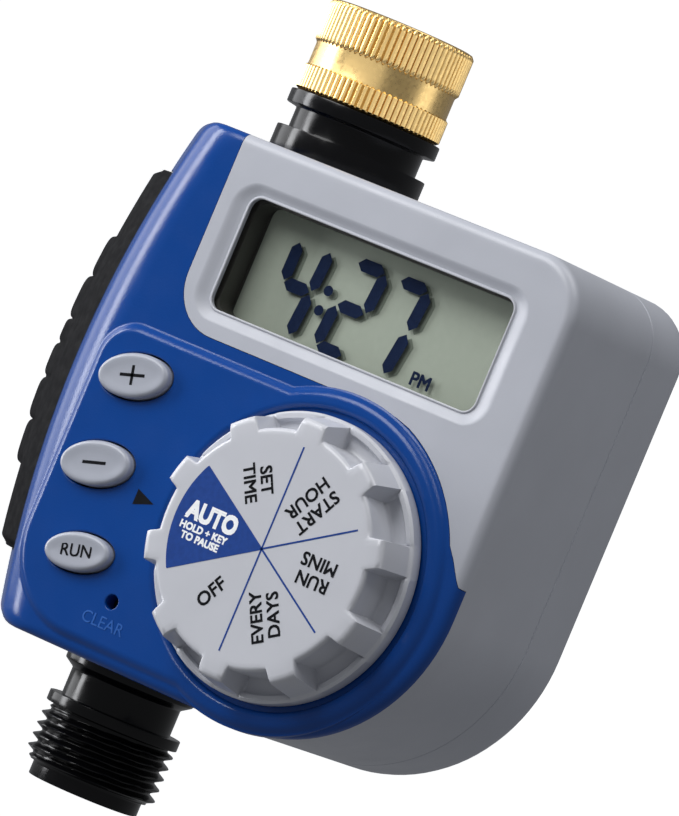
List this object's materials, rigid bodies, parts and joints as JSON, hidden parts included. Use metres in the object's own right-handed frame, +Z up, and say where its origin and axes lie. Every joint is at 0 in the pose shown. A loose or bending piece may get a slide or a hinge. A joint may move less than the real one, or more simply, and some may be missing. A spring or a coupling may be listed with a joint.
{
  "type": "drip irrigation timer",
  "caption": "Tap-mounted water timer with a swivel coupling, battery display, selector dial, push buttons and a threaded hose outlet.",
  "frame": {"origin": "centre of the coupling's mouth, on the water axis", "axes": "+Z up along the water axis, out of the inlet; the display and dial face -Y; +X to the right seen from the front"},
  "size_m": [0.1154, 0.0605, 0.1573],
  "materials": {
    "nut_brass": "machined and knurled brass",
    "blue_abs": "fine-textured moulded ABS",
    "grey_abs": "fine-textured moulded ABS",
    "light_grey_abs": "satin moulded ABS",
    "black_pom": "glossy moulded acetal",
    "grip_rubber": "matte overmoulded rubber",
    "clear_window": "clear polished acrylic",
    "lcd_glass": "reflective liquid crystal glass",
    "dark_abs": "moulded ABS",
    "board_laminate": "solder-masked glass epoxy",
    "seal_rubber": "moulded nitrile rubber",
    "keypad_silicone": "moulded silicone",
    "fastener_steel": "zinc-plated steel",
    "spring_steel": "nickel-plated spring steel",
    "winding_copper": "enamelled copper wire",
    "cell_wrap": "printed shrink wrap on steel"
  },
  "bodies": {
    "case": {"hose_washer": "seal_rubber", "filter_screen": "spring_steel", "inlet_tailpiece": "black_pom", "inlet_collar": "black_pom", "inlet_oring": "seal_rubber", "front_cover": "blue_abs", "front_housing": "grey_abs", "rear_housing": "grey_abs", "housing_gasket": "seal_rubber", "housing_screws": "fastener_steel", "display_window": "clear_window", "lcd_holder": "dark_abs", "lcd_glass": "lcd_glass", "lcd_contact_strip": "keypad_silicone", "lcd_board": "board_laminate", "main_board": "board_laminate", "board_screws": "fastener_steel", "board_ribbon": "light_grey_abs", "keypad_mat": "keypad_silicone", "reset_switch": "dark_abs", "detent_spring": "spring_steel", "battery_bay": "dark_abs", "bay_contacts": "spring_steel", "valve_body": "black_pom", "diaphragm": "seal_rubber", "diaphragm_spring": "spring_steel", "valve_bonnet": "black_pom", "bonnet_screws": "fastener_steel", "plunger_spring": "spring_steel", "solenoid_bobbin": "dark_abs", "solenoid_winding": "winding_copper", "solenoid_yoke": "fastener_steel", "latching_magnet": "fastener_steel", "solenoid_leads": "winding_copper", "outlet_spigot": "black_pom", "outlet_oring": "seal_rubber"},
    "coupling": {"coupling_nut": "nut_brass"},
    "dial": {"dial_knob": "light_grey_abs", "dial_detent_wheel": "black_pom", "dial_wiper": "spring_steel", "dial_screw": "fastener_steel"},
    "plus": {"plus_button": "light_grey_abs"},
    "minus": {"minus_button": "light_grey_abs"},
    "run": {"run_button": "light_grey_abs"},
    "reset": {"reset_stem": "dark_abs"},
    "tray": {"battery_tray": "dark_abs", "tray_grip": "grip_rubber", "battery_cell_front": "cell_wrap", "battery_cell_rear": "cell_wrap", "tray_springs": "spring_steel", "tray_contacts": "spring_steel"},
    "diaphragm_centre": {"diaphragm_disc": "black_pom"},
    "solenoid_plunger": {"plunger": "fastener_steel"}
  },
  "joints": [
    {"name": "coupling_swivel", "type": "hinge", "parent": "case", "child": "coupling", "pos_m": [0, 0, -0.009], "axis": [0, 0, 1], "continuous": true},
    {"name": "dial_turn", "type": "hinge", "parent": "case", "child": "dial", "pos_m": [0.0417, -0.0314, -0.1001], "axis": [0, -1, 0], "continuous": true},
    {"name": "plus_press", "type": "slide", "parent": "case", "child": "plus", "axis": [0, 1, 0], "range_m": [0, 0.001], "stiffness_N_per_m": 1200},
    {"name": "minus_press", "type": "slide", "parent": "case", "child": "minus", "axis": [0, 1, 0], "range_m": [0, 0.001], "stiffness_N_per_m": 1200},
    {"name": "run_press", "type": "slide", "parent": "case", "child": "run", "axis": [0, 1, 0], "range_m": [0, 0.001], "stiffness_N_per_m": 1200},
    {"name": "reset_press", "type": "slide", "parent": "case", "child": "reset", "axis": [0, 1, 0], "range_m": [0, 0.0003], "stiffness_N_per_m": 4000},
    {"name": "tray_slide", "type": "slide", "parent": "case", "child": "tray", "axis": [-1, 0, 0], "range_m": [0, 0.022]},
    {"name": "diaphragm_lift", "type": "slide", "parent": "case", "child": "diaphragm_centre", "axis": [1, 0, 0], "range_m": [0, 0.0015], "stiffness_N_per_m": 600, "deforming": ["diaphragm", "diaphragm_spring"]},
    {"name": "plunger_lift", "type": "slide", "parent": "case", "child": "solenoid_plunger", "axis": [1, 0, 0], "range_m": [0, 0.002], "stiffness_N_per_m": 500, "deforming": ["plunger_spring"]}
  ]
}
